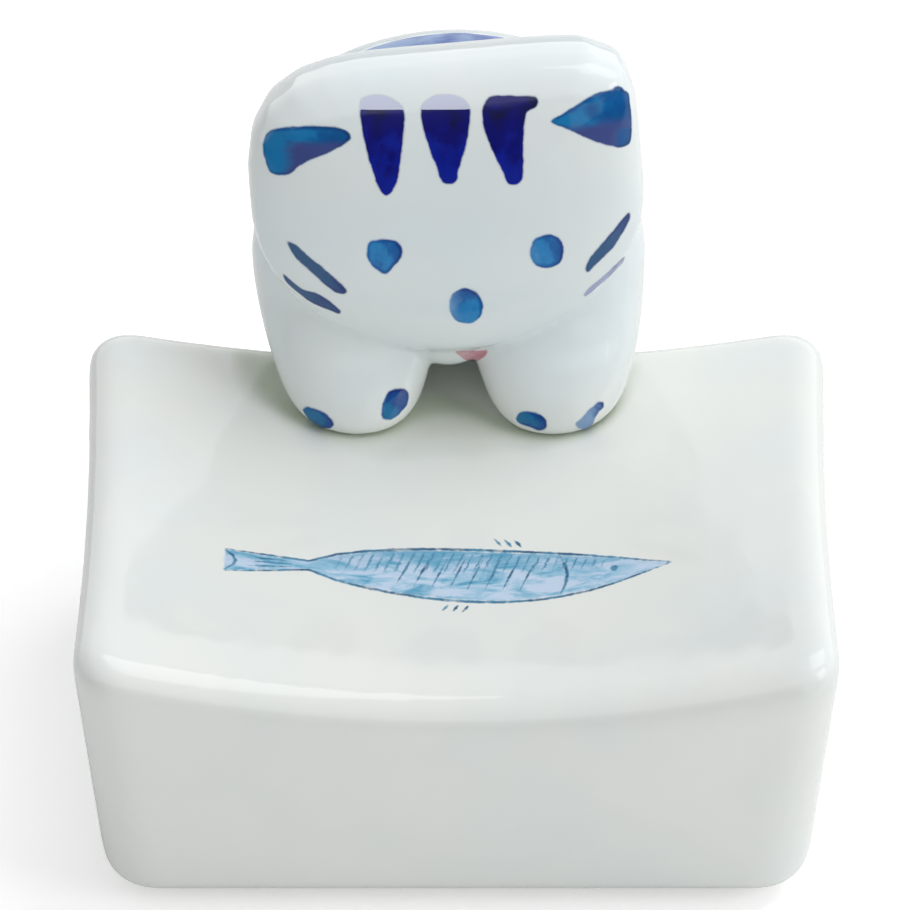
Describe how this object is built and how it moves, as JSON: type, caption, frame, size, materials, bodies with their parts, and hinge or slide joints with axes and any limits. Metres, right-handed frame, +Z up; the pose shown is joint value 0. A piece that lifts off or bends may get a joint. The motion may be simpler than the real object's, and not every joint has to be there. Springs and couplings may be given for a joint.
{
  "type": "chopstick rest",
  "caption": "Porcelain chopstick rest: a rounded block with a dished top and a painted fish, and a cat that leans over its rear edge with both forepaws on it.",
  "frame": {"origin": "the middle of the footprint, on the table", "axes": "+X to the right seen from the front, +Y to the back, where the cat stands, +Z up"},
  "size_m": [0.0446, 0.0482, 0.0403],
  "materials": {
    "white_glaze": "glossy clear glaze over white porcelain",
    "bare_foot": "unglazed porcelain, wiped clean before firing",
    "cobalt": "cobalt brushwork under the glaze",
    "light_blue": "blue brushwork under the glaze",
    "pink": "pink brushwork under the glaze",
    "pale_wash": "thin blue wash under the glaze",
    "fish_blue": "fine blue linework under the glaze"
  },
  "bodies": {
    "root": {"plate": "white_glaze", "foot_rim": "bare_foot", "cat_head": "white_glaze", "chin": "white_glaze", "cat_body": "white_glaze", "foreleg_left": "white_glaze", "foreleg_right": "white_glaze", "hindleg_left": "white_glaze", "hindleg_right": "white_glaze", "cat_tail": "white_glaze", "ear_left": "cobalt", "ear_right": "cobalt", "forehead_stripes": "cobalt", "eye_left": "light_blue", "eye_right": "light_blue", "nose": "light_blue", "whiskers_left": "cobalt", "whiskers_right": "cobalt", "mouth": "pink", "toe_marks_left": "light_blue", "toe_marks_right": "light_blue", "back_stripes": "cobalt", "tail_mark": "cobalt", "fish_wash": "pale_wash", "fish_lines": "fish_blue"}
  },
  "joints": []
}
